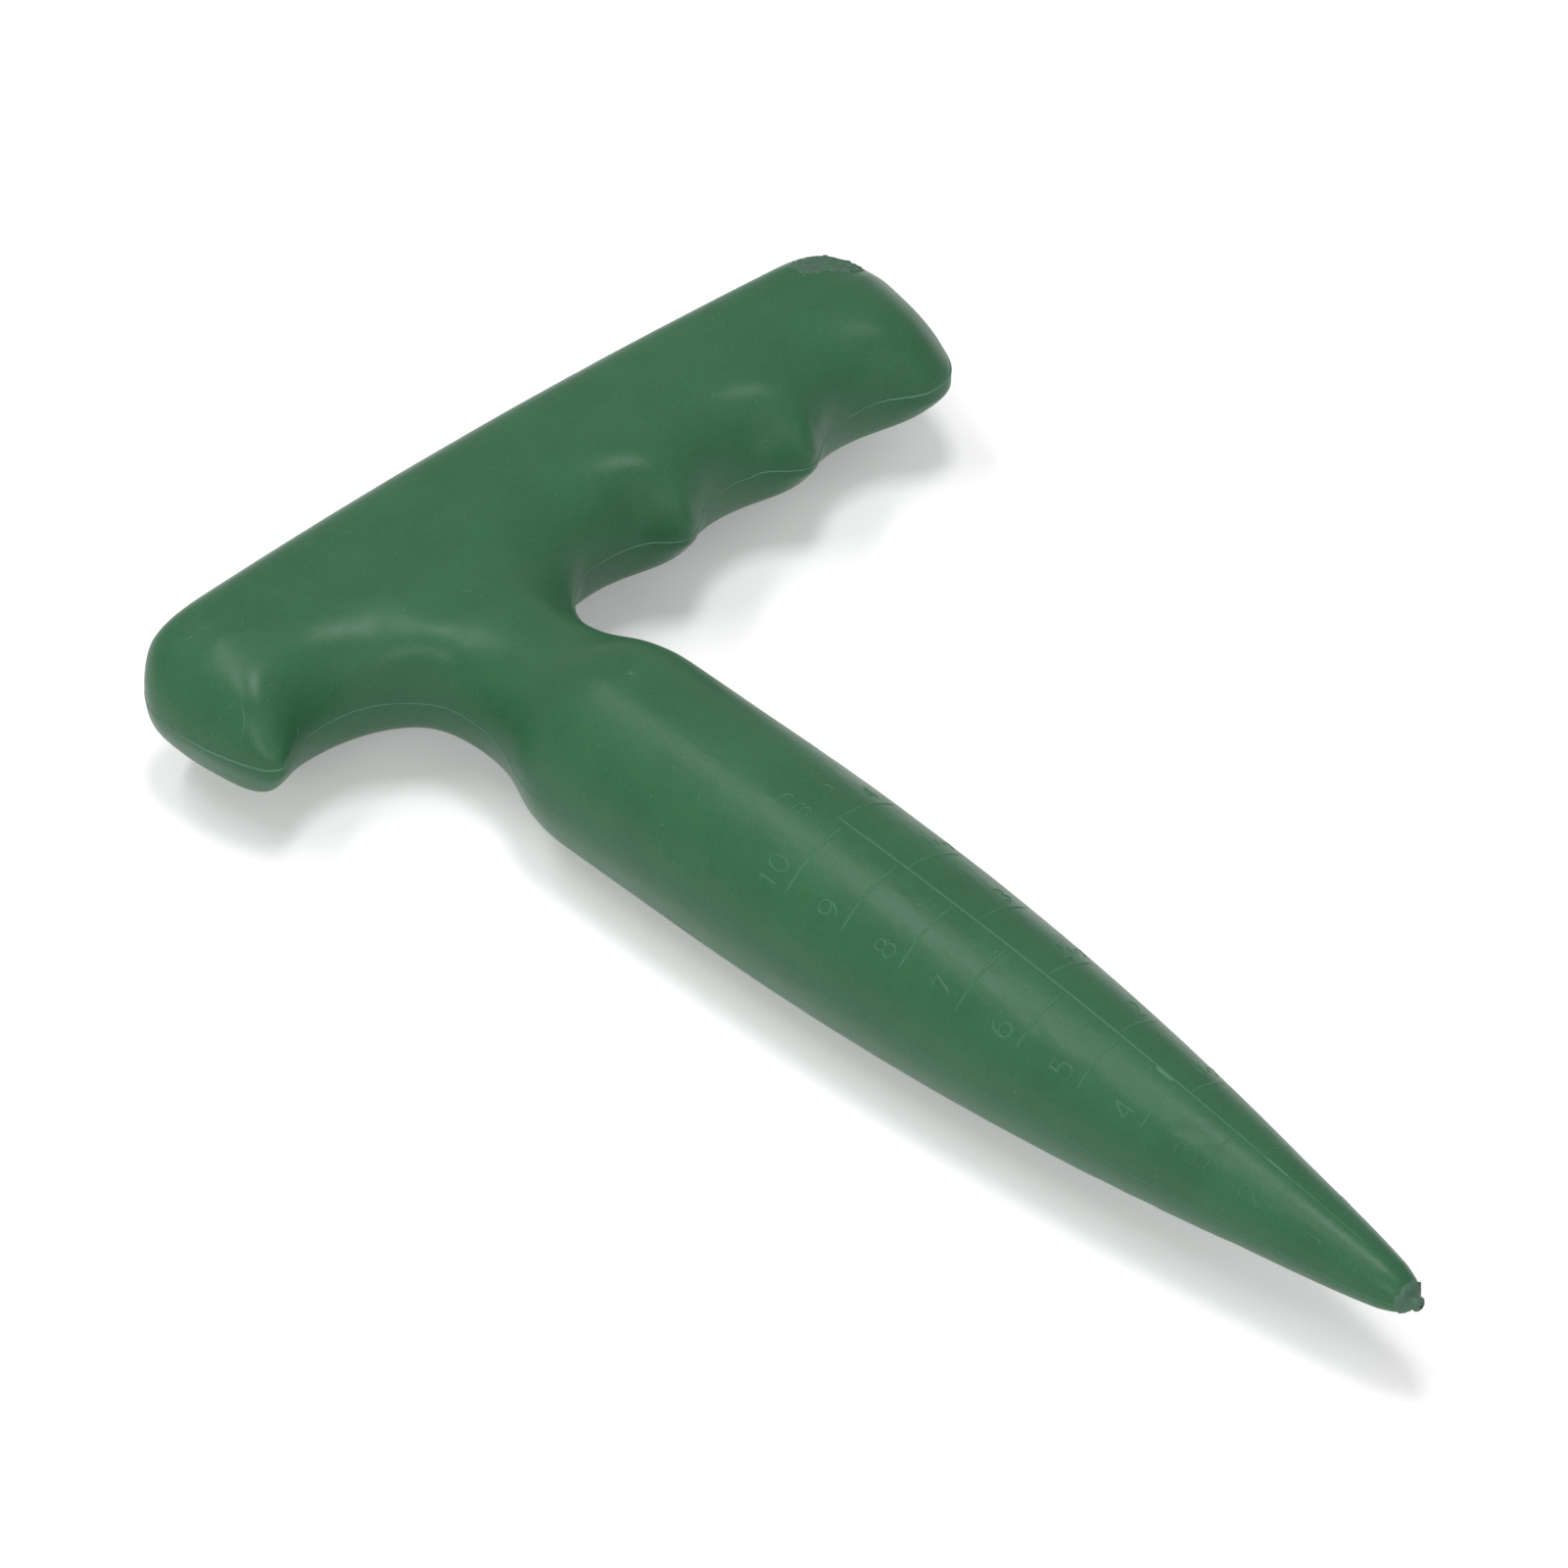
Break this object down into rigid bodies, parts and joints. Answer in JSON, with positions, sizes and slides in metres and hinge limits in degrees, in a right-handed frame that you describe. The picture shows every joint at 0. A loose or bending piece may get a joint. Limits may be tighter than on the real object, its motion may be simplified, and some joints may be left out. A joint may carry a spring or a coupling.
{
  "type": "seedling dibber",
  "caption": "Hand dibber with a T-shaped finger-grip handle and a pointed round spike that carries a raised depth scale, for making planting holes and setting seedlings.",
  "frame": {"origin": "under the middle of the tool's box, on the surface that the spike's back lies on", "axes": "+Y from the spike's tip to the grip, +X towards the grip's long arm, +Z out of the front, which carries the scale"},
  "size_m": [0.1326, 0.2046, 0.0295],
  "materials": {
    "green_plastic": "satin moulded polyethylene"
  },
  "bodies": {
    "root": {"front_half_shell": "green_plastic", "rear_half_shell": "green_plastic", "tip_nub": "green_plastic", "scale_centre_line": "green_plastic", "centimetre_marks": "green_plastic", "half_inch_marks": "green_plastic"}
  },
  "joints": []
}
